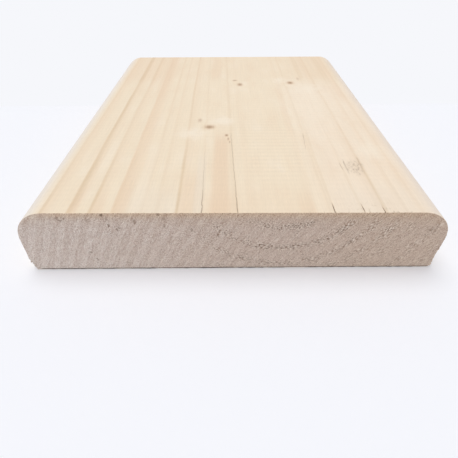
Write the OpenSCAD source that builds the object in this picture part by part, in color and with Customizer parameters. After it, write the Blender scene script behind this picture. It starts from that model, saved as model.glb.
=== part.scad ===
// Planed softwood plank: flat face and back, both long edges of the face rounded over, ends sawn square.
// It lies on its back. X runs across the width, Y along the grain, Z up through the thickness.

/* [Section] */
// Planed width of the plank
plank_width = 120; // [60:1:300]
// Planed thickness of the plank
plank_thickness = 21; // [12:0.5:60]
// Radius of the rounded long edges of the face
edge_radius = 9; // [1:0.5:20]
// Bevel that takes the sharpness off the long edges of the back
arris_bevel = 0.4; // [0.1:0.1:1.5]

/* [Length] */
// Length of the plank between its sawn ends
plank_length = 1200; // [300:50:4800]

/* [Hidden] */
$fn = 96;

half_width = plank_width / 2;
// The rounding stops where the bevel of the back begins, and at the middle of the face
round_radius = min(edge_radius, plank_thickness - arris_bevel, half_width);
// Height of the straight side, and half the width of the flat face, where the rounding begins
side_top = plank_thickness - round_radius;
face_half = half_width - round_radius;

// Outline of the plank without its rounded edges: a stepped polygon that leaves a square corner free at each
module straight_outline() {
    polygon([
        [-half_width + arris_bevel, 0],
        [half_width - arris_bevel, 0],
        [half_width, arris_bevel],
        [half_width, side_top],
        [face_half, side_top],
        [face_half, plank_thickness],
        [-face_half, plank_thickness],
        [-face_half, side_top],
        [-half_width, side_top],
        [-half_width, arris_bevel]
    ]);
}

// The whole cross-section, with a round set into each free corner so that it meets face and side without a step
module plank_section() {
    straight_outline();
    for (side = [-1, 1])
        translate([side * face_half, side_top])
            circle(r = round_radius);
}

// The plank: its section run along the grain, standing on the middle of its back
module plank() {
    color("burlywood")
        rotate([90, 0, 0])
            linear_extrude(height = plank_length, center = true)
                plank_section();
}

plank();
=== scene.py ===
import math
import bpy
import numpy as np
from mathutils import Matrix, Vector


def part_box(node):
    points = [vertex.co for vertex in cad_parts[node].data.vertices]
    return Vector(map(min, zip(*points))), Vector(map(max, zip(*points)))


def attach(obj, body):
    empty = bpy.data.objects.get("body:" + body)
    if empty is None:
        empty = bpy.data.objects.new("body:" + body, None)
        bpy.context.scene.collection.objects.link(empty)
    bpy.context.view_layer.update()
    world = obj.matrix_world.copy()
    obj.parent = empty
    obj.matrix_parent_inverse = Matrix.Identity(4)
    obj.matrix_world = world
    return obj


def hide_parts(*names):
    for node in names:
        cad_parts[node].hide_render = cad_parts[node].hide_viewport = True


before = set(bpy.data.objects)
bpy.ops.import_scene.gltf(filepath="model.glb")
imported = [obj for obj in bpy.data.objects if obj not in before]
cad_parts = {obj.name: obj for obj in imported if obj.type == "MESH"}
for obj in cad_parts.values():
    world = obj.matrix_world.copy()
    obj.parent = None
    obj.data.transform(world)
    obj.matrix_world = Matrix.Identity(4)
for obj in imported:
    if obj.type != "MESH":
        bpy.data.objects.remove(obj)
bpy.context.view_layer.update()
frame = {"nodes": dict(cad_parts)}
plankLow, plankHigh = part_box("plank")
mm = 0.001
print("frame loaded, nodes:", ", ".join(frame["nodes"]))


# The plank. Sizes and places are in mm: across from the middle, along from the near end, and depth below
# the face as a negative number. A pair with no note of its own says where something starts to show and
# where it shows in full.
plank = {
    "width": (plankHigh.x - plankLow.x) / mm,
    "length": (plankHigh.y - plankLow.y) / mm,
    "thickness": (plankHigh.z - plankLow.z) / mm,
    "edgeRadius": 9.0,  # rounded long edges of the face
    "arrisBevel": 0.4,  # long edges of the back
    "cell": 0.4,  # spacing of the mesh on the face and the ends
    "roundSteps": 18,  # steps round each rounded edge
    "firstStep": 0.1,  # spacing of the mesh beside an arris, and how fast it grows away from it
    "stepGrowth": 1.22,
    "endRows": 23,  # rows of the mesh that crowd towards each end, and towards the face and the back
    "sideRows": 9,
    "bodyRow": 100.0,  # spacing of the rows along the rest
    "sharpAngle": 50.0,  # degrees past which an edge is shaded as sharp
    "noiseCells": 96,  # cells before the noise on the mesh repeats
    # growth rings: the pith lies above the face, and the core round it wanders along the plank
    "pithAcross": 13.7,
    "pithHeight": 12.0,
    "coreWander": 2.4,
    "wanderLength": 170.0,
    "coreReach": (46, 28),  # distance from the pith: where the wander starts, and where it is full
    # where each ring meets the face at the near end, width of its dark line, its strength there and further
    # on, width and strength of the warm wood inside it, how much the saw tears it
    "rings": (
        (5.3, 0.8, 0.00, 0.00, 1.6, 0.15, 0.0),
        (1.2, 0.6, 0.20, 0.20, 1.5, 0.10, 0.9),
        (-8.2, 0.6, 0.25, 0.12, 1.5, 0.05, 1.0),
        (-14.9, 0.7, 0.75, 0.28, 4.0, 0.30, 0.8),
        (-20.5, 0.9, 0.18, 0.10, 2.5, 0.15, 0.6),
        (-24.5, 0.8, 0.20, 0.18, 2.0, 0.15, 0.3),
        (-32.1, 1.6, 0.22, 0.08, 6.0, 0.60, 0.5),
        (-38.3, 0.9, 0.70, 0.20, 4.0, 0.35, 0.3),
        (-44.0, 1.6, 0.80, 0.52, 4.0, 0.45, 0.3),
        (-51.3, 0.9, 0.40, 0.18, 4.5, 0.40, 0.3),
        (-58.1, 0.9, 0.40, 0.35, 4.0, 0.35, 0.3),
        (-64.6, 1.0, 0.40, 0.35, 4.0, 0.35, 0.3),
        (-71.1, 1.0, 0.40, 0.35, 4.0, 0.35, 0.3),
    ),
    "rightCrowding": 1.4,  # how far the rings on the right stand closer to the pith
    "crowdAcross": (24, 42),
    "ringFall": 0.9,  # how soon a line turns pale again on its outer side
    "nearLines": (40, 5),  # along: where the lines take their strength at the near end
    "rightLines": (5, 25),  # across: where the lines turn paler, and by how much
    "rightFade": 0.2,
    "tornInside": 0.3,  # how far inside a line the saw tears most
    "tornReach": (1.8, 0.2),
    # small knots on spokes from the pith: across, along, half width, half length, darkness
    "knots": (
        (-8.3, 53.3, 1.9, 1.6, 0.62),
        (-12.1, 59.4, 0.8, 1.8, 0.30),
        (4.4, 100.1, 1.2, 1.9, 0.60),
        (2.0, 105.8, 1.1, 1.0, 0.40),
        (28.6, 102.1, 1.4, 1.8, 0.75),
        (33.1, 108.0, 0.8, 2.4, 0.20),
        (-1.7, 46.3, 0.55, 0.9, 0.60),
        (-1.1, 43.4, 0.35, 1.2, 0.40),
        (-0.6, 41.1, 0.3, 0.9, 0.35),
        (-23.0, 171.0, 1.0, 1.4, 0.6),
        (19.0, 228.0, 1.6, 2.0, 0.9),
        (-36.0, 268.0, 1.9, 2.4, 0.9),
        (7.0, 339.0, 1.0, 1.5, 0.7),
        (37.0, 352.0, 1.5, 1.9, 0.9),
        (-14.0, 431.0, 2.2, 2.7, 0.9),
        (23.0, 502.0, 1.1, 1.5, 0.7),
        (-40.0, 540.0, 1.4, 2.0, 0.9),
        (1.0, 607.0, 1.8, 2.2, 0.9),
        (31.0, 668.0, 2.3, 2.8, 0.9),
        (-21.0, 712.0, 1.0, 1.4, 0.7),
        (-4.0, 789.0, 1.3, 1.8, 0.9),
        (-33.0, 861.0, 1.7, 2.2, 0.9),
        (20.0, 903.0, 1.2, 1.6, 0.8),
        (-11.0, 985.0, 2.0, 2.4, 0.9),
        (39.0, 1022.0, 1.3, 1.9, 0.8),
        (8.0, 1094.0, 1.4, 1.7, 0.9),
    ),
    "knotBend": 0.4,  # how far the rings give way round a knot
    "haloStrength": 0.55,
    # streaks along the grain, and wide patches of painted shade towards the back: tint, across, along, half
    # width, half length, strength
    "streaksAndShade": (
        ("peachWood", -3.4, 18.6, 2.8, 31.0, 0.72),
        ("peachWood", -3.2, 0.0, 4.8, 12.0, 0.50),
        ("peachWood", -11.9, 4.3, 2.8, 18.0, 0.45),
        ("peachWood", 20.3, 0.0, 2.4, 11.0, 0.45),
        ("peachWood", 11.8, 0.0, 9.0, 15.0, 0.20),
        ("greyWood", -22.2, 0.0, 8.0, 15.0, 0.35),
        ("greyWood", -9.4, 10.5, 1.6, 24.0, 0.40),
        ("greyWood", 40.8, 0.0, 14.0, 15.0, 0.30),
        ("peachWood", 21.7, 69.8, 1.5, 24.0, 0.20),
        ("peachWood", -7.2, 127.4, 2.6, 22.0, 0.40),
        ("peachWood", -31.9, 141.8, 2.5, 60.0, 0.30),
        ("peachWood", 48.9, 113.0, 1.8, 36.0, 0.30),
        ("lateWood", -43.7, 154.2, 1.2, 52.0, 0.45),
        ("lateWood", -38.0, 154.2, 1.0, 52.0, 0.30),
        ("lateWood", 35.1, 154.3, 1.1, 52.0, 0.25),
        ("lateWood", 47.2, 154.4, 1.4, 52.0, 0.25),
        # painted shade: the next three patches darken the face towards the back, where less light falls on
        # it
        ("peachWood", -42.4, 149.0, 15.0, 48.0, 0.30),
        ("peachWood", 44.2, 149.2, 12.0, 46.0, 0.30),
        ("peachWood", -0.1, 164.6, 75.0, 58.0, 0.12),
        ("peachWood", -43.1, 4.3, 1.3, 9.0, 0.50),
        ("peachWood", -36.5, 2.3, 2.0, 9.0, 0.40),
        ("peachWood", -30.4, 6.4, 2.0, 12.0, 0.35),
        ("paleWood", -40.5, 30.8, 1.3, 14.0, 0.40),
        ("paleWood", -26.0, 20.6, 1.8, 22.0, 0.30),
        ("lateWood", 27.2, 22.7, 0.4, 28.0, 0.20),
        ("peachWood", 10.0, 300.0, 5.0, 70.0, 0.45),
        ("peachWood", 40.0, 480.0, 5.0, 80.0, 0.35),
        ("peachWood", -18.0, 520.0, 4.5, 90.0, 0.45),
        ("peachWood", -35.0, 700.0, 6.0, 110.0, 0.35),
        ("peachWood", 28.0, 850.0, 5.0, 80.0, 0.45),
        ("peachWood", 5.0, 1050.0, 6.0, 80.0, 0.40),
    ),
    # soft pale patches where the fibres dip: across, along, half width, half length, strength
    "palePatches": (
        (-14.2, 48.0, 6.5, 5.5, 0.90),
        (-3.2, 58.7, 5.5, 5.0, 0.95),
        (35.5, 94.5, 6.5, 7.5, 0.70),
        (33.9, 73.9, 13.0, 36.0, 0.55),
        (1.3, 92.4, 2.5, 8.0, 0.45),
        (6.4, 101.6, 2.5, 4.0, 0.45),
        (24.0, 106.3, 4.5, 4.5, 0.70),
        (46.4, 34.0, 5.5, 6.5, 0.70),
        (-30.0, 255.0, 8.0, 24.0, 0.50),
        (30.0, 640.0, 9.0, 30.0, 0.50),
        (-8.0, 960.0, 7.0, 26.0, 0.50),
    ),
    # hairline cracks on the face: across at the start, along at the start and the end, slope, half width,
    # darkness at the start and at the end
    "hairlines": (
        (1.4, 0.0, 12.5, -0.034, 0.13, 0.75, 0.40),
        (1.0, 12.5, 49.3, -0.034, 0.11, 0.40, 0.35),
        (-8.2, 0.0, 13.5, -0.021, 0.13, 0.80, 0.30),
        (-8.5, 13.5, 37.0, -0.021, 0.10, 0.30, 0.10),
        (25.3, 37.0, 48.3, 0.07, 0.10, 0.25, 0.50),
        (35.9, 20.7, 29.4, 0.0, 0.22, 0.20, 0.50),
        (34.5, 23.2, 27.3, -0.05, 0.16, 0.30, 0.45),
        (40.7, 20.7, 30.9, 0.01, 0.26, 0.15, 0.35),
    ),
    # short checks that open at the near end: across, length, half width, depth
    "checks": (
        (27.3, 5.5, 0.13, 0.30),
        (35.2, 5.0, 0.11, 0.25),
        (40.6, 3.5, 0.13, 0.30),
    ),
    # dry scuff on the face: across, along, half width, half length
    "scuff": (38.7, 23.4, 3.0, 4.7),
    "fray": (37.8, 9.0, 7.5),  # roughest stretch of the near arris: across, half width, how far along
    "rippleStep": 2.42,  # marks that the planer knives leave
    "ripplePatch": (13.8, 37.0, 13.0, 22.5),  # where they show most: across, along, half width, half length
    # paler wood on the right of the face, and how deep the marks on the face go
    "paleAcross": (18, 32),
    "paleAlong": (115, 90),
    "markDepth": (-2.0, -0.5),
    # fuzz and painted sheen on the rounded edges: how far in from the sides they are full, their strength,
    # and how much weaker they are on the right
    "fuzzSheenInset": 3.5,
    "fuzzSheenDepth": (-9, -4),
    "fuzzSheenStrength": 0.85,
    "fuzzSheenAcross": (0, 10),
    "fuzzSheenFade": 0.35,
    # strokes that the saw left on the ends: how far they lean for each mm of height, how that grows to the
    # right, the spacing of the passes, where one of them lies, and how deep they are
    "sawLean": 0.61,
    "sawFan": 0.0040,
    "sawStep": 4.04,
    "sawStart": -22.7,
    "sawDepth": 0.03,
    "sawShares": (0.4, 0.6),  # how much of that depth the passes and the strokes change
    "strokeCells": (0.9, 0.1),  # noise of the strokes: cells for each mm across and down, and its start
    "strokeShift": (70, 9),
    # how far the near end is off square: at its upper left, upper right, lower left and lower right
    "offSquare": (0.7, 0.25, 0.0, 0.5),
    "endArris": 0.25,  # rounding of the ends' arrises
    "lowerArris": (0.45, 0.22),  # height and depth of the rounding where an end meets the back
    "arrisRagged": (0.45, 0.8),  # how uneven the arrises are, and its cells for each mm
    "cutInset": 0.6,  # how far in from the arrises the strokes are full
    "endSeeds": (11, 47),  # near and far end
    "chipReach": 6.0,  # how far along the plank a chip at an arris runs out
    "pitRagged": (0.35, 2.3),  # how uneven a pit's rim is, and its cells for each mm
    # pits and chips in the near end: across, depth, half width, half height, how deep
    "pits": (
        (55.2, -6.3, 0.7, 0.6, 0.50),
        (-35.1, -0.7, 0.5, 0.4, 0.30),
        (-59.9, -20.4, 1.4, 3.3, 0.90),
        (59.7, -12.7, 0.7, 0.6, 0.30),
        (60.0, -17.2, 1.5, 4.5, 0.50),
    ),
    # nicks that the saw's teeth left in the near end, painted dark, partly as shade in them: across, depth,
    # half width, half height, darkness
    "nicks": (
        (-47.4, -1.8, 0.5, 0.4, 0.6),
        (-46.5, -2.5, 0.7, 0.3, 0.6),
        (-45.5, -1.9, 0.4, 0.4, 0.5),
        (-39.5, -2.4, 0.4, 0.5, 0.4),
        (-35.1, -0.6, 0.4, 0.4, 1.0),
        (-34.0, -1.9, 0.4, 0.5, 0.4),
        (-33.9, -4.2, 0.3, 0.7, 0.8),
        (-31.8, -5.7, 0.3, 0.4, 0.8),
        (-31.1, -5.1, 0.4, 0.5, 0.6),
        (-26.6, -2.8, 0.4, 0.7, 0.6),
        (-19.9, -0.6, 0.4, 0.5, 0.8),
        (-18.5, -1.9, 0.4, 0.6, 0.5),
        (-18.7, -4.6, 0.3, 0.5, 0.5),
        (-41.1, -14.1, 0.6, 0.4, 0.6),
        (-39.8, -16.8, 0.4, 0.6, 0.5),
        (-31.1, -18.2, 0.5, 0.3, 0.5),
        (-49.9, -7.4, 0.4, 0.6, 0.4),
        (-11.2, -5.8, 0.3, 0.8, 0.6),
        (-4.0, -7.7, 0.4, 0.6, 0.6),
        (55.0, -6.2, 0.8, 0.5, 0.6),
    ),
    # the ends' colours: grey turns to wood across, warm wood on the right and at the top, a warm rim of
    # painted glow
    "endAcross": (-62, 12),
    "warmAcross": (10, 45),
    # darker at the top of the ends, and painted light towards their bottom against the shade near the
    # floor: where each starts and is full
    "upperDepth": (-6, -1),
    "lowerDepth": (-13, -20),
    # rim of painted glow, where light comes through the thin upper corners: inset from the arris, across,
    # depth and strength
    "rimInset": (2.6, 0.0),
    "rimAcross": (60, 46),
    "rimDepth": (-14, -4),
    "rimStrength": 0.7,
    # where the teeth's marks weaken, where fibres tear, and where a painted shadow line lies on the lower
    # arris
    "teethAcross": (-8, 25),
    "teethFade": 0.5,
    "tearAcross": (-16, 4),
    "tearDepth": (-1.5, -4.0),
    "tearScale": 25.0,  # distance from the pith at which torn fibres have their true length
    "shadowLineDepth": (-20.45, -20.6),
    "shadowLineAcross": (-58.5, -56.5),
    # soft noises, in the planed wood and then on the sawn ends: cells for each mm of the three fields that
    # they run on, and how much detail
    "noises": {
        "waver": (0.06, 0.015, 0.06, 2.0),
        "wobble": (0.3, 0.09, 0.3, 2.0),
        "fibre": (2.4, 0.05, 2.4, 4.0),
        "streak": (0.5, 0.01, 0.5, 2.0),
        "mottle": (0.15, 0.06, 0.15, 3.0),
        "blot": (0.35, 0.25, 0.35, 3.0),
        "hair": (5.5, 0.3, 5.5, 2.0),
        "fleck": (1.3, 0.7, 1.3, 3.0),
        "breaks": (0.3, 0.35, 0.3, 3.0),
        "band": (0.4, 0.05, 0.01, 2.0),
        "stroke": (1.8, 0.45, 0.01, 3.0),
        "grit": (3.2, 0.1, 2.6, 2.0),
        "clump": (0.2, 0.01, 0.3, 2.0),
        "curl": (2.8, 1.4, 0.01, 1.0),
    },
    # roughness and gloss of each finish, how much each pattern brightens it, and how high it stands in mm
    "planedFinish": (0.6, 0.25),
    "planedTints": {"fibre": 0.10, "hair": 0.10, "fleck": 0.05, "streak": 0.04, "ripple": 0.010},
    "planedRelief": {"fibre": 0.025, "hair": 0.02, "fleck": 0.02, "ripple": 0.004, "dark": -0.01},
    "sawnFinish": (0.8, 0.3),
    # upper darkens the top of the ends, and lower is painted light towards their bottom
    "sawnTints": {"teeth": 0.06, "stroke": 0.8, "grit": 1.6, "lower": 0.06, "upper": -0.03},
    "sawnCast": (0.75, 1.0, 1.1),  # share of that for red, green and blue
    "sawnRelief": {"stroke": 0.45, "grit": 0.50, "torn": 0.80, "dent": -0.25},
    # sheet that the plank is laid out on flat, in shares of it: the near stretch is drawn larger, and both
    # ends lie in a strip below, each with its start and its width
    "sheetMargin": 0.005,
    "sheetStretch": 150.0,  # length of the near stretch, in mm
    "sheetRise": (0.1, 0.32),  # where it starts and stops on the sheet
    "sheetEnds": {"near": (0.005, 0.595), "far": (0.61, 0.385)},
    "sheetStrip": 0.085,  # height of that strip
    # colours as the eye sees them, 0 to 255
    "earlyWood": (243, 226, 200),
    "earlyPale": (245, 227, 204),
    "lateWood": (222, 198, 164),
    "paleWood": (248, 234, 213),
    "peachWood": (236, 210, 181),
    "greyWood": (237, 224, 206),
    "edgeFuzzSheen": (238, 230, 221),  # fuzz and painted sheen on the rounded edges
    "knotWood": (150, 110, 80),
    "knotHalo": (208, 168, 128),
    "crackWood": (142, 116, 94),
    "scuffWood": (200, 181, 158),
    "endGrey": (212, 197, 187),
    "endWood": (203, 183, 169),
    "endWarm": (196, 168, 138),
    "endGlowRim": (215, 187, 158),
    # dark torn wood, with painted shade in the pits and nicks, and pale torn fibres, with painted
    # highlights where they stand up
    "endDark": (134, 106, 84),
    "endPaleHighlight": (232, 215, 199),
    "paintedShadowLine": (58, 52, 52),  # painted shadow line on the lower arris of the ends
}


def colour(rgb):
    # eye values to light: value over 255, then the sRGB curve undone, with alpha 1
    share = np.array(rgb) / 255
    light = np.where(share <= 0.04045, share / 12.92, ((share + 0.055) / 1.055) ** 2.4)
    return (*light.tolist(), 1.0)


def feed(socket, value):
    # a socket takes another field or socket as a link, and a number or colour as its own value
    if isinstance(value, Field):
        value = value.socket
    if isinstance(value, bpy.types.NodeSocket):
        socket.id_data.links.new(value, socket)
    else:
        socket.default_value = value


class Field:
    # one number for each point of a surface: arithmetic on it adds Math nodes
    def __init__(self, socket):
        self.socket = socket

    def calc(self, operation, *others):
        node = self.socket.id_data.nodes.new("ShaderNodeMath")
        node.operation = operation
        for slot, value in zip(node.inputs, (self, *others)):
            feed(slot, value)
        return Field(node.outputs[0])

    def __add__(self, other):
        return self.calc("ADD", other)

    def __sub__(self, other):
        return self.calc("SUBTRACT", other)

    def __mul__(self, other):
        return self.calc("MULTIPLY", other)

    def __truediv__(self, other):
        return self.calc("DIVIDE", other)

    def __pow__(self, other):
        return self.calc("POWER", other)

    def __abs__(self):
        return self.calc("ABSOLUTE")

    __radd__ = __add__
    __rmul__ = __mul__

    def __rsub__(self, other):
        return self * -1.0 + other


def ease(value, low, high):
    # 0 at low, 1 at high and 3t^2 - 2t^3 between, of a field or an array
    if not isinstance(value, Field):
        t = np.clip((value - low) / (high - low), 0, 1)
        return t * t * (3 - 2 * t)
    node = value.socket.id_data.nodes.new("ShaderNodeMapRange")
    node.interpolation_type = "SMOOTHSTEP"
    feed(node.inputs["Value"], value)
    node.inputs["From Min"].default_value = low
    node.inputs["From Max"].default_value = high
    return Field(node.outputs["Result"])


def gather(tree, x, y, z):
    # three fields as one vector
    node = tree.nodes.new("ShaderNodeCombineXYZ")
    for slot, value in zip(node.inputs, (x, y, z)):
        feed(slot, value)
    return node.outputs[0]


def vectorMath(operation, first, second):
    # one vector worked on by another, part by part
    node = first.id_data.nodes.new("ShaderNodeVectorMath")
    node.operation = operation
    feed(node.inputs[0], first)
    feed(node.inputs[1], second)
    return node.outputs[0]


def cloud(name, x, y, z):
    # soft noise about 0, from -0.5 to 0.5, on three fields, each times its own cells for each mm
    tree = x.socket.id_data
    cellsX, cellsY, cellsZ, detail = plank["noises"][name]
    node = tree.nodes.new("ShaderNodeTexNoise")
    feed(node.inputs["Vector"], gather(tree, x * cellsX, y * cellsY, z * cellsZ))
    node.inputs["Scale"].default_value = 1.0
    node.inputs["Detail"].default_value = detail
    return Field(node.outputs["Fac"]) - 0.5


def weigh(weights, **fields):
    # sum of the named fields, each times its weight
    return sum(fields[name] * weight for name, weight in weights.items())


def paint(base, share, over):
    # base colour with another laid over it, by a share from 0 to 1
    node = share.socket.id_data.nodes.new("ShaderNodeMix")
    node.data_type = "RGBA"
    feed(node.inputs["Factor"], share)
    feed(node.inputs["A"], base)
    feed(node.inputs["B"], over)
    return node.outputs["Result"]


def brighten(base, change, cast=(1, 1, 1)):
    # colour times 1 plus a change, which a cast shares out between red, green and blue
    tree = change.socket.id_data
    node = tree.nodes.new("ShaderNodeVectorMath")
    node.operation = "SCALE"
    feed(node.inputs[0], cast)
    feed(node.inputs["Scale"], change)
    return vectorMath("MULTIPLY", base, vectorMath("ADD", node.outputs[0], (1, 1, 1)))


def plankPlace(tree):
    # object coordinates turned to mm: across, along from the near end, depth below the face
    place = tree.nodes.new("ShaderNodeTexCoord")
    split = tree.nodes.new("ShaderNodeSeparateXYZ")
    feed(split.inputs[0], place.outputs["Object"])
    across = Field(split.outputs["X"]) / mm
    along = (Field(split.outputs["Y"]) - plankLow.y) / mm
    depth = (Field(split.outputs["Z"]) - plankHigh.z) / mm
    return across, along, depth


def pithDistance(across, along, depth):
    # distance from the pith line: it wanders on a slow sine, the rings grow straight again away from the
    # core, and they crowd towards it on the right
    toX = across - plank["pithAcross"] + ease(across, *plank["crowdAcross"]) * plank["rightCrowding"]
    toZ = depth - plank["pithHeight"]
    core = ease((toX ** 2 + toZ ** 2).calc("SQRT"), *plank["coreReach"])
    wander = (along / plank["wanderLength"]).calc("SINE") * core * plank["coreWander"]
    return ((toX + wander) ** 2 + (toZ + wander) ** 2).calc("SQRT")


def ringTints(radius, across, along):
    # each ring warms over its band up to its line, which is darkest near the sawn end and left of the pith,
    # and turns pale again past it; torn is highest just inside the lines
    warm = radius * 0.0
    front = radius * 0.0
    rest = radius * 0.0
    torn = radius * 0.0
    for face, lineWidth, frontDark, restDark, bandWidth, bandStrength, tear in plank["rings"]:
        line = math.hypot(face - plank["pithAcross"], plank["pithHeight"])
        stop = ease(radius, line + plank["ringFall"], line)
        shade = ease(radius, line - lineWidth, line) * stop
        warm = warm + ease(radius, line - bandWidth, line) * stop * bandStrength
        front = front + shade * frontDark
        rest = rest + shade * restDark
        torn = torn + ease(abs(radius - line + plank["tornInside"]), *plank["tornReach"]) * tear
    near = ease(along, *plank["nearLines"])
    dark = front * near + rest * (1.0 - near)
    dark = dark * (1.0 - ease(across, *plank["rightLines"]) * plank["rightFade"])
    return warm, dark, torn


def spotDistance(place, scale, spot):
    # distance from a spot's middle, 1 at its half width across and its half length along, times a scale
    offset = vectorMath("SUBTRACT", place, (spot[0], spot[1], 0))
    share = vectorMath("DIVIDE", vectorMath("MULTIPLY", offset, scale), (spot[2], spot[3], 1))
    node = share.id_data.nodes.new("ShaderNodeVectorMath")
    node.operation = "LENGTH"
    feed(node.inputs[0], share)
    return Field(node.outputs["Value"])


def lattice(x, y, seed):
    # noise on arrays: random heights from -1 to 1, eased with 3t^2 - 2t^3 between the corners of a cell
    cells = plank["noiseCells"]
    heights = np.random.default_rng(seed).uniform(-1, 1, (cells, cells))
    column = np.floor(x).astype(int)
    row = np.floor(y).astype(int)
    s = ease(x - column, 0, 1)
    t = ease(y - row, 0, 1)
    left, right = column % cells, (column + 1) % cells
    below, above = row % cells, (row + 1) % cells
    low = heights[left, below] * (1 - s) + heights[right, below] * s
    high = heights[left, above] * (1 - s) + heights[right, above] * s
    return low * (1 - t) + high * t


def faceHeight(across):
    # top of the section: the full thickness, falling round a quarter circle at each long edge
    flat = plank["width"] / 2 - plank["edgeRadius"]
    out = np.clip(np.abs(across) - flat, 0, plank["edgeRadius"])
    return plank["thickness"] - plank["edgeRadius"] + np.sqrt(plank["edgeRadius"] ** 2 - out ** 2)


def backHeight(across):
    # bottom of the section: zero, rising at 45 degrees over the bevel of each long edge
    return np.clip(np.abs(across) - plank["width"] / 2 + plank["arrisBevel"], 0, None)


def crowded(span, count, step):
    # stations over a span: steps that grow by a fixed ratio away from both ends, and even steps between
    growth = plank["stepGrowth"]
    edge = plank["firstStep"] * (growth ** np.arange(count) - 1) / (growth - 1)
    middle = span - 2 * edge[-1]
    even = np.linspace(edge[-1], span - edge[-1], int(round(middle / step)) + 1)[1:-1]
    return np.concatenate([edge, even, span - edge[::-1]])


def acrossStations():
    # even steps over the flat face, even angles round the edges, and three stations at each check
    flat = plank["width"] / 2 - plank["edgeRadius"]
    even = np.linspace(-flat, flat, int(round(2 * flat / plank["cell"])) + 1)
    turn = np.linspace(0, np.pi / 2, plank["roundSteps"] + 1)[1:]
    edge = flat + plank["edgeRadius"] * np.sin(turn)
    edge = np.append(edge, plank["width"] / 2 - plank["arrisBevel"])
    checks = [place + side * half for place, _, half, _ in plank["checks"] for side in (-1, 0, 1)]
    return np.unique(np.round(np.concatenate([-edge, even, edge, checks]), 4))


def checkDepth(across, along):
    # a V across each check, full depth at its middle, that runs out along its length
    depth = np.zeros_like(across)
    for place, length, half, deepest in plank["checks"]:
        vee = np.clip(1 - np.abs(across - place) / half, 0, 1)
        depth += deepest * vee * np.sqrt(np.clip(1 - along / length, 0, 1))
    return depth


def edgeInset(across, up):
    # distance in from the section's outline, the least of those from its top, side and bottom, and the way
    # out: up, sideways, down, or along the radius of a rounded edge
    radius = plank["edgeRadius"]
    side = np.sign(across)
    outX = np.abs(across) - plank["width"] / 2 + radius
    outZ = up - plank["thickness"] + radius
    spoke = np.hypot(outX, outZ)
    onRound = (outX > 0) & (outZ > 0)
    choices = np.stack([np.where(onRound, radius - spoke, radius - outZ), radius - outX, up])
    choices[1][onRound] = plank["length"]  # never the least beside a rounded edge
    nearest = choices.argmin(0)
    safe = np.maximum(spoke, 1e-6)
    wayX = np.where(onRound, side * outX / safe, 0)
    wayZ = np.where(onRound, outZ / safe, 1)
    wayX = np.choose(nearest, [wayX, side, 0 * up])
    wayZ = np.choose(nearest, [wayZ, 0 * up, 0 * up - 1])
    return np.maximum(choices.min(0), 0), wayX, wayZ


def roundArris(fromEnd, inset, onEnd, high, deep):
    # square arris to a quarter ellipse: a point at distance s from the arris goes to the angle of
    # (1 - s/radius) x 45 degrees on its own half of the ellipse, and comes back as its new distances from
    # the end and from the outline
    turn = np.clip(1 - np.where(onEnd, inset / high, fromEnd / deep), 0, 1) * np.pi / 4
    short = 1 - np.cos(turn)
    long = 1 - np.sin(turn)
    far = turn <= 0
    endPlace = np.where(onEnd, deep * short, np.where(far, fromEnd, deep * long))
    edgePlace = np.where(onEnd, np.where(far, inset, high * long), high * short)
    return endPlace, edgePlace


def sawPlace(across, depth):
    # place across the saw's strokes: across, less the lean times the height above the middle
    return across - (depth + plank["thickness"] / 2) * (across * plank["sawFan"] + plank["sawLean"])


def sawnRelief(across, depth, seed):
    # how far the saw cut back an end: a cosine over its passes, and noise drawn out along its strokes
    place = sawPlace(across, depth)
    passes = np.cos((place - plank["sawStart"]) * 2 * np.pi / plank["sawStep"])
    cells, shift = plank["strokeCells"], plank["strokeShift"]
    strokes = lattice(place * cells[0] + shift[0], depth * cells[1] + shift[1], seed)
    passShare, strokeShare = plank["sawShares"]
    return plank["sawDepth"] * (1 + passShare * passes + strokeShare * strokes)


def pitDepth(across, depth, seed):
    # each pit is a round-bottomed bowl, 1 minus the square of the distance, with a ragged rim
    deep = np.zeros_like(across)
    uneven, cells = plank["pitRagged"]
    ragged = uneven * lattice(across * cells, depth * cells, seed)
    for placeX, placeZ, half, tall, deepest in plank["pits"]:
        share = np.hypot((across - placeX) / half, (depth - placeZ) / tall) + ragged
        deep = np.maximum(deep, deepest * np.clip(1 - share ** 2, 0, 1))
    return deep


def offSquare(across, depth):
    # cut back of a leaning end: its four corners mixed by the place across and down
    upperLeft, upperRight, lowerLeft, lowerRight = plank["offSquare"]
    right = across / plank["width"] + 0.5
    down = -depth / plank["thickness"]
    upper = upperLeft * (1 - right) + upperRight * right
    lower = lowerLeft * (1 - right) + lowerRight * right
    return upper * (1 - down) + lower * down


def latticeQuads(counts):
    # the six faces of a block of lattice points, each a grid of quads with its corners outwards
    acrossCount, alongCount, upCount = counts
    i = np.arange(acrossCount)
    j = np.arange(alongCount)
    k = np.arange(upCount)

    def key(a, b, c):
        # number of the lattice point in column a, row b and layer c
        return (a * alongCount + b) * upCount + c

    def grid(keys, flip):
        # each point with its neighbours one step on both ways, turned round where the face looks back
        corners = [keys[:-1, :-1], keys[1:, :-1], keys[1:, 1:], keys[:-1, 1:]]
        return np.stack(corners[::-1] if flip else corners, -1).reshape(-1, 4)

    return {
        "face": grid(key(i[:, None], j[None, :], upCount - 1), False),
        "back": grid(key(i[:, None], j[None, :], 0), True),
        "right": grid(key(acrossCount - 1, j[:, None], k[None, :]), False),
        "left": grid(key(0, j[:, None], k[None, :]), True),
        "near": grid(key(i[None, :], 0, k[:, None]), True),
        "far": grid(key(i[None, :], alongCount - 1, k[:, None]), False),
    }


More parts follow.
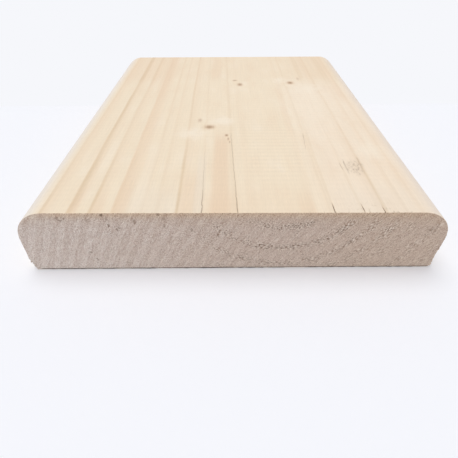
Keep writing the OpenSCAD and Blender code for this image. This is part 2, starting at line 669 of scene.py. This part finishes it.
def sheetPlaces(grids, across, along, up):
    # the plank laid out flat, for each corner of each quad: length round the section by place along, with
    # the near stretch drawn larger, and the two ends side by side in a strip below
    def run(heights):
        # length along an outline: the sum of its steps
        return np.append(0, np.cumsum(np.hypot(np.diff(across), np.diff(heights))))

    face = run(faceHeight(across))
    back = run(backHeight(across))
    low = backHeight(across[0])
    side = up * (faceHeight(across[0]) - low)
    total = 2 * side[-1] + face[-1] + back[-1]
    margin = plank["sheetMargin"]
    stretches = [0, plank["sheetStretch"], plank["length"]]
    rise = np.interp(along, stretches, [*plank["sheetRise"], 1 - margin])
    sheets = []
    for name, keys in grids.items():
        i = keys // (len(along) * len(up))
        j = keys // len(up) % len(along)
        k = keys % len(up)
        if name in plank["sheetEnds"]:
            start, wide = plank["sheetEnds"][name]
            share = across[i] / plank["width"] + 0.5
            u = start + wide * (share if name == "near" else 1 - share)
            height = backHeight(across[i]) + up[k] * (faceHeight(across[i]) - backHeight(across[i]))
            v = margin + plank["sheetStrip"] * height / plank["thickness"]
        else:
            lengths = {
                "left": side[k],
                "face": side[-1] + face[i],
                "right": side[-1] + face[-1] + side[-1] - side[k],
                "back": total - back[i],
            }
            u = margin + (1 - 2 * margin) * lengths[name] / total
            v = rise[j]
        sheets.append(np.stack([u, v], -1).reshape(-1, 2))
    return np.concatenate(sheets)


def buildPlank():
    # section carried along the plank on a lattice, then its ends sawn, its arrises rounded and its checks
    # opened
    across = acrossStations()
    along = crowded(plank["length"], plank["endRows"], plank["bodyRow"])
    up = crowded(plank["thickness"], plank["sideRows"], plank["cell"]) / plank["thickness"]
    grids = latticeQuads((len(across), len(along), len(up)))
    used, quads = np.unique(np.concatenate(list(grids.values())), return_inverse=True)
    quads = quads.reshape(-1, 4)
    x = across[used // (len(along) * len(up))]
    row = used // len(up) % len(along)
    y = along[row].copy()
    low = backHeight(x)
    z = low + up[used % len(up)] * (faceHeight(x) - low)
    inset, wayX, wayZ = edgeInset(x, z)
    fromEdge = np.where((row == 0) | (row == len(along) - 1), inset, 0)
    onTop = (wayZ > 0.9) & (inset < 0.02)  # points that lie on the face
    opened = np.where(onTop, checkDepth(x, y), 0)
    uneven, cells = plank["arrisRagged"]
    nearSeed, farSeed = plank["endSeeds"]
    ends = (
        (0, 0.0, 1, nearSeed),
        (len(along) - 1, plank["length"], -1, farSeed),
    )
    for endRow, start, inward, seed in ends:
        onEnd = row == endRow
        ragged = 1 + uneven * lattice(x * cells, z * cells, seed + 5)
        lower = wayZ < -0.5  # points nearest to the back
        high = np.where(lower, plank["lowerArris"][0], plank["endArris"]) * ragged
        deep = np.where(lower, plank["lowerArris"][1], plank["endArris"]) * ragged
        distance = (y - start) * inward
        fromEnd, moved = roundArris(distance, inset, onEnd, high, deep)
        close = onEnd | (distance < deep)
        step = np.where(close, moved - np.where(onEnd, inset, 0), 0)
        depth = z - plank["thickness"]
        cut = np.where(onEnd, sawnRelief(x, depth, seed) * ease(inset, 0, plank["cutInset"]), 0)
        if endRow == 0:
            fade = np.clip(1 - distance / plank["chipReach"], 0, 1) ** 2
            cut = cut + (pitDepth(x, depth, seed + 7) + offSquare(x, depth)) * fade
        y = np.where(close, start + inward * fromEnd, y) + inward * cut
        x, z = x - wayX * step, z - wayZ * step
    z = z - opened
    points = np.stack([x * mm, y * mm + plankLow.y, z * mm + plankLow.z], -1)
    mesh = bpy.data.meshes.new("softwood_plank")
    mesh.from_pydata(points, [], quads)
    endQuads = len(grids["near"]) + len(grids["far"])
    finish = np.repeat([0, 1], [len(quads) - endQuads, endQuads]).astype(np.int32)
    mesh.polygons.foreach_set("material_index", finish)
    mesh.polygons.foreach_set("use_smooth", np.ones(len(quads), bool))
    mesh.attributes.new("fromEdge", "FLOAT", "POINT").data.foreach_set("value", fromEdge.astype(np.float32))
    sheet = mesh.uv_layers.new(name="OFBake")
    sheet.uv.foreach_set("vector", sheetPlaces(grids, across, along, up).astype(np.float32).ravel())
    mesh.set_sharp_from_angle(angle=math.radians(plank["sharpAngle"]))
    piece = bpy.data.objects.new("softwood_plank", mesh)
    bpy.context.scene.collection.objects.link(piece)
    print("plank meshed:", len(points), "points,", 2 * len(quads), "triangles")
    return piece


def plainShader(name, roughness, gloss):
    # a Principled shader with its tree, ready for colour and bump
    material = bpy.data.materials.new(name)
    material.use_nodes = True
    shader = material.node_tree.nodes["Principled BSDF"]
    shader.inputs["Roughness"].default_value = roughness
    shader.inputs["Specular IOR Level"].default_value = gloss
    return material, material.node_tree, shader


def bumpInto(shader, height):
    # surface normals tilted by a height in mm
    node = shader.id_data.nodes.new("ShaderNodeBump")
    node.inputs["Strength"].default_value = 1.0
    node.inputs["Distance"].default_value = mm
    feed(node.inputs["Height"], height)
    feed(shader.inputs["Normal"], node.outputs["Normal"])


def planedWood():
    # planed face, edges and back: rings, streaks, patches of painted shade towards the back, patches, fuzz
    # with painted sheen, fibres, knots, cracks and a scuff, each laid over the last
    material, tree, shader = plainShader("planed_softwood", *plank["planedFinish"])
    across, along, depth = plankPlace(tree)
    place = gather(tree, across, along, 0.0)
    # a knot keeps its place on the spoke from the pith and widens along it, so it is larger on the back
    taper = (depth / -plank["pithHeight"] + 1.0) ** -1.0
    spoke = (across - plank["pithAcross"]) * taper + plank["pithAcross"]
    branch = gather(tree, spoke, along, 0.0)
    branchScale = gather(tree, 1.0, taper, 0.0)
    bent = across
    reaches = []
    for *knot, strength in plank["knots"]:
        reach = spotDistance(branch, branchScale, knot)
        reaches.append((reach, strength))
        bent = bent - (spoke - knot[0]) * ease(reach, 4.5, 0.5) * plank["knotBend"]
    waver = cloud("waver", across, along, depth)
    wobble = cloud("wobble", across, along, depth) * 0.5
    radius = pithDistance(bent, along, depth) + waver + wobble
    warm, dark, _ = ringTints(radius, across, along)
    fibre = cloud("fibre", across, along, depth)
    streak = cloud("streak", across, along, depth)
    pale = ease(across, *plank["paleAcross"]) * ease(along, *plank["paleAlong"])
    look = paint(colour(plank["earlyWood"]), pale, colour(plank["earlyPale"]))
    mottle = cloud("mottle", across, along, depth)
    look = paint(look, ease(mottle, 0.0, 0.25) * 0.45, colour(plank["paleWood"]))
    look = paint(look, ease(mottle, 0.0, -0.25) * 0.25, colour(plank["peachWood"]))
    uneven = streak * 0.8 + mottle * 1.5 + 1.0
    look = paint(look, warm * uneven, colour(plank["peachWood"]))
    look = paint(look, dark * uneven, colour(plank["lateWood"]))
    # streaks along the grain, and patches of painted shade towards the back
    for tint, placeX, placeY, half, length, strength in plank["streaksAndShade"]:
        share = ease(abs(across - placeX + streak * 1.2), half * 1.3, half * 0.5)
        share = share * ease(abs(along - placeY + streak * 8.0), length + 4, length - 10)
        look = paint(look, share * strength, colour(plank[tint]))
    blot = cloud("blot", across, along, depth)
    for *patch, strength in plank["palePatches"]:
        reach = spotDistance(place, (1, 1, 0), patch) + blot * 1.4
        look = paint(look, ease(reach, 1.3, 0.0) * strength, colour(plank["paleWood"]))
    # fuzz and painted sheen on the rounded edges, weaker on the right
    side = plank["width"] / 2
    fuzzAndSheen = ease(abs(across), side - plank["edgeRadius"], side - plank["fuzzSheenInset"])
    fuzzAndSheen = fuzzAndSheen * ease(depth, *plank["fuzzSheenDepth"])
    fuzzAndSheen = fuzzAndSheen * (1.0 - ease(across, *plank["fuzzSheenAcross"]) * plank["fuzzSheenFade"])
    look = paint(look, fuzzAndSheen * plank["fuzzSheenStrength"], colour(plank["edgeFuzzSheen"]))
    hair = cloud("hair", across, along, depth)
    fleck = cloud("fleck", across, along, depth)
    ripple = (along * (2 * math.pi / plank["rippleStep"])).calc("SINE") * ease(blot, -0.3, 0.2)
    ripple = ripple * (ease(spotDistance(place, (1, 1, 0), plank["ripplePatch"]), 1.2, 0.6) * 1.5 + 1.0)
    tints = weigh(plank["planedTints"], fibre=fibre, hair=hair, fleck=fleck, streak=streak, ripple=ripple)
    look = brighten(look, tints)
    for reach, strength in reaches:
        ragged = reach + fibre * 0.5 + blot * 0.6
        halo = ease(ragged, 2.0, 0.5) * strength * plank["haloStrength"]
        look = paint(look, halo, colour(plank["knotHalo"]))
        look = paint(look, ease(ragged, 1.25, 0.1) * strength, colour(plank["knotWood"]))
    breaks = cloud("breaks", across, along, depth)
    onFace = ease(depth, *plank["markDepth"])
    for start, first, last, slope, half, startDark, endDark in plank["hairlines"]:
        offset = abs((along - first) * -slope + across - start + breaks * 0.6)
        line = ease(offset, half * 1.6, half * 0.3)
        line = line * ease(along, last, last - 3) * ease(along, first - 2, first)
        strength = ease(along, first, last) * (endDark - startDark) + startDark
        line = line * strength * ease(breaks, -0.3, -0.05)
        look = paint(look, line * onFace, colour(plank["crackWood"]))
    for start, length, half, _ in plank["checks"]:
        line = ease(abs(across - start + breaks * 0.5), half * 1.5, half * 0.3)
        line = line * ease(along, length, length * 0.5)
        look = paint(look, line * ease(breaks, -0.2, 0.05) * onFace, colour(plank["crackWood"]))
    rubbed = ease(spotDistance(place, (1, 1, 0), plank["scuff"]) + blot * 1.4, 1.2, 0.4) * onFace
    look = paint(look, rubbed * ease(fleck, -0.2, 0.15) * 0.5, colour(plank["scuffWood"]))
    look = paint(look, rubbed * ease(fleck, 0.06, 0.2) * 0.3, colour(plank["crackWood"]))
    frayX, frayHalf, frayLength = plank["fray"]
    fray = ease(along, frayLength, 0) * ease(abs(across - frayX), frayHalf, frayHalf * 0.4)
    fray = fray + ease(along, 1.6, 0.2)
    look = paint(look, fray * ease(fleck, 0.03, 0.2) * onFace * 0.5, colour(plank["scuffWood"]))
    feed(shader.inputs["Base Color"], look)
    relief = weigh(plank["planedRelief"], fibre=fibre, hair=hair, fleck=fleck, ripple=ripple, dark=dark)
    bumpInto(shader, relief)
    return material


def sawnWood():
    # sawn ends: grey to warm across, a rim of painted glow, painted light low down, the saw's strokes,
    # fibres torn along the rings and nicks, partly painted shade and highlight, and a painted shadow line
    material, tree, shader = plainShader("sawn_softwood", *plank["sawnFinish"])
    across, along, depth = plankPlace(tree)
    saw = sawPlace(across, depth)
    radius = pithDistance(across, along, depth)
    angle = (depth - plank["pithHeight"]).calc("ARCTAN2", across - plank["pithAcross"])
    zone = ringTints(radius, across, along)[2]
    band = cloud("band", saw, depth, along)
    stroke = cloud("stroke", saw, depth, along)
    # three teeth to each pass: a wave for the pass, and a finer one for the teeth, whose stripes are partly
    # painted shading of the saw's ridges
    swing = (saw + band * 0.8 - plank["sawStart"]) * (2 * math.pi / plank["sawStep"])
    teeth = (swing * 3.0).calc("COSINE") * 0.5 - swing.calc("COSINE")
    teeth = teeth * (1.0 - ease(across, *plank["teethAcross"]) * plank["teethFade"])
    grit = cloud("grit", across, along, depth)
    clump = cloud("clump", across, along, depth)
    curl = cloud("curl", radius, angle * plank["tearScale"], along)
    woody = ease(across + band * 30.0, *plank["endAcross"])
    look = paint(colour(plank["endGrey"]), woody, colour(plank["endWood"]))
    # painted glow: a warm rim near the upper corners of the ends, where light comes through the thin
    # rounded edges
    edge = tree.nodes.new("ShaderNodeAttribute")
    edge.attribute_name = "fromEdge"
    rim = ease(Field(edge.outputs["Fac"]), *plank["rimInset"]) * ease(abs(across), *plank["rimAcross"])
    rim = rim * ease(depth, *plank["rimDepth"])
    look = paint(look, rim * plank["rimStrength"], colour(plank["endGlowRim"]))
    rough = zone * ease(clump, -0.26, 0.02) + ease(clump, 0.02, 0.2) * 0.40
    rough = rough * ease(across, *plank["tearAcross"]) * ease(depth, *plank["tearDepth"]) + 0.12
    # darker at the top, and painted light towards the bottom, laid on by the upper and lower tints
    upper = ease(depth, *plank["upperDepth"])
    lower = ease(depth, *plank["lowerDepth"])
    look = paint(look, ease(across, *plank["warmAcross"]) * 0.22 + upper * 0.2, colour(plank["endWarm"]))
    tints = weigh(plank["sawnTints"], teeth=teeth, stroke=stroke, grit=grit, lower=lower, upper=upper)
    look = brighten(look, tints, plank["sawnCast"])
    # torn fibres: dark in the pits, partly painted shade, and pale where they stand up, partly painted
    # highlight
    look = paint(look, ease(curl, -0.04, -0.14) * rough * 0.80, colour(plank["endDark"]))
    look = paint(look, ease(curl, 0.03, 0.12) * rough * 1.1, colour(plank["endPaleHighlight"]))
    place = gather(tree, across, depth, 0.0)
    dent = radius * 0.0
    # nicks: dents, painted dark, partly as the shade in them
    for *nick, strength in plank["nicks"]:
        dent = dent + ease(spotDistance(place, (1, 1, 0), nick) + grit * 1.6, 1.2, 0.4) * strength
    dent = dent * ease(along, plank["length"] / 2, 0)  # on the near end only
    look = paint(look, dent * 0.8, colour(plank["endDark"]))
    # painted shadow: a dark line on the lower arris of both ends, standing in for the shade in the gap
    # under the plank
    shadowStrip = ease(depth, *plank["shadowLineDepth"]) * ease(across, *plank["shadowLineAcross"])
    look = paint(look, shadowStrip * 0.95, colour(plank["paintedShadowLine"]))
    feed(shader.inputs["Base Color"], look)
    bumpInto(shader, weigh(plank["sawnRelief"], stroke=stroke, grit=grit, torn=curl * rough, dent=dent))
    return material


piece = buildPlank()
piece.data.materials.append(planedWood())
piece.data.materials.append(sawnWood())
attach(piece, "root")
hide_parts("plank")
print("plank finished with", len(piece.data.materials), "materials")


# The stage: floor, light and camera
stage = {
    "floorColour": (250, 251, 255),
    "floorFinish": (0.9, 0.1),  # roughness and gloss
    "floorHalf": 8.0,  # m
    "worldColour": (250, 251, 255),
    "worldStrength": 0.5,
    "backdropColour": (246, 247, 251),  # what the camera and reflections see beyond the floor
    # soft lamps, so far off that they light the floor evenly: direction to the right, up and to the front,
    # how wide they look in degrees, light in W for each square metre
    "lamps": (
        ("overhead", -0.30, 2.18, -0.27, 44.0, 1.30),
        ("front", 0.0, 0.68, 1.8, 39.0, 0.70),
    ),
    # camera, in mm and degrees: in front of the near end, above the face, and to the side
    "cameraBack": 74.62,
    "cameraUp": 58.39,
    "cameraAside": -0.79,
    "pitch": 40.44,
    "yaw": -0.121,
    "roll": -0.332,
    "lens": 28.16,
    "sensor": 36.0,
    "viewStart": 5.0,
    "viewEnd": 206.1,  # how far the view reaches: there the photograph's upper edge cuts the plank off
}


def layFloor():
    # one flat square at the height that the plank lies on
    half = stage["floorHalf"]
    corners = [(-half, -half, 0), (half, -half, 0), (half, half, 0), (-half, half, 0)]
    mesh = bpy.data.meshes.new("floor")
    mesh.from_pydata(corners, [], [(0, 1, 2, 3)])
    floor = bpy.data.objects.new("floor", mesh)
    material, _, shader = plainShader("floor", *stage["floorFinish"])
    shader.inputs["Base Color"].default_value = colour(stage["floorColour"])
    mesh.materials.append(material)
    bpy.context.scene.collection.objects.link(floor)


def hangSky():
    # an even pale sky that lights the plank, and a backdrop where the camera or a reflection sees past the
    # floor
    world = bpy.data.worlds.new("studio")
    world.use_nodes = True
    tree = world.node_tree
    sky = tree.nodes["Background"]
    sky.inputs["Color"].default_value = colour(stage["worldColour"])
    sky.inputs["Strength"].default_value = stage["worldStrength"]
    backdrop = tree.nodes.new("ShaderNodeBackground")
    backdrop.inputs["Color"].default_value = colour(stage["backdropColour"])
    ray = tree.nodes.new("ShaderNodeLightPath")
    seen = Field(ray.outputs["Is Camera Ray"])
    seen = seen.calc("MAXIMUM", ray.outputs["Is Glossy Ray"])
    seen = seen.calc("MAXIMUM", ray.outputs["Is Transmission Ray"])
    mix = tree.nodes.new("ShaderNodeMixShader")
    feed(mix.inputs[0], seen)
    feed(mix.inputs[1], sky.outputs[0])
    feed(mix.inputs[2], backdrop.outputs[0])
    feed(tree.nodes["World Output"].inputs["Surface"], mix.outputs[0])
    bpy.context.scene.world = world


def hangLamps():
    # far lamps, each turned to shine back along its direction
    for name, right, up, front, wide, strength in stage["lamps"]:
        lamp = bpy.data.lights.new(name, "SUN")
        lamp.angle = math.radians(wide)
        lamp.energy = strength
        holder = bpy.data.objects.new(name, lamp)
        holder.location = (right, plankLow.y - front, up)
        holder.rotation_euler = Vector((-right, front, -up)).to_track_quat("-Z", "Y").to_euler()
        bpy.context.scene.collection.objects.link(holder)


def setCamera():
    # camera turned by yaw, pitch and roll from looking along the plank
    pitch, yaw, roll = (math.radians(stage[name]) for name in ("pitch", "yaw", "roll"))
    forward = Vector((math.sin(yaw) * math.cos(pitch), math.cos(yaw) * math.cos(pitch), -math.sin(pitch)))
    right = Vector((math.cos(yaw), -math.sin(yaw), 0))
    up = right.cross(forward)
    tilt = Matrix.Rotation(-roll, 3, forward)
    right, up = tilt @ right, tilt @ up
    view = bpy.data.cameras.new("view")
    view.lens = stage["lens"]
    view.sensor_width = stage["sensor"]
    view.clip_start = stage["viewStart"] * mm
    view.clip_end = stage["viewEnd"] * mm
    holder = bpy.data.objects.new("view", view)
    place = Vector((
        stage["cameraAside"] * mm,
        plankLow.y - stage["cameraBack"] * mm,
        plankHigh.z + stage["cameraUp"] * mm,
    ))
    holder.matrix_world = Matrix.Translation(place) @ Matrix((right, up, -forward)).transposed().to_4x4()
    bpy.context.scene.collection.objects.link(holder)
    bpy.context.scene.camera = holder


layFloor()
hangSky()
hangLamps()
setCamera()
bpy.context.scene.view_settings.view_transform = "Standard"
print("floor, light and camera set")
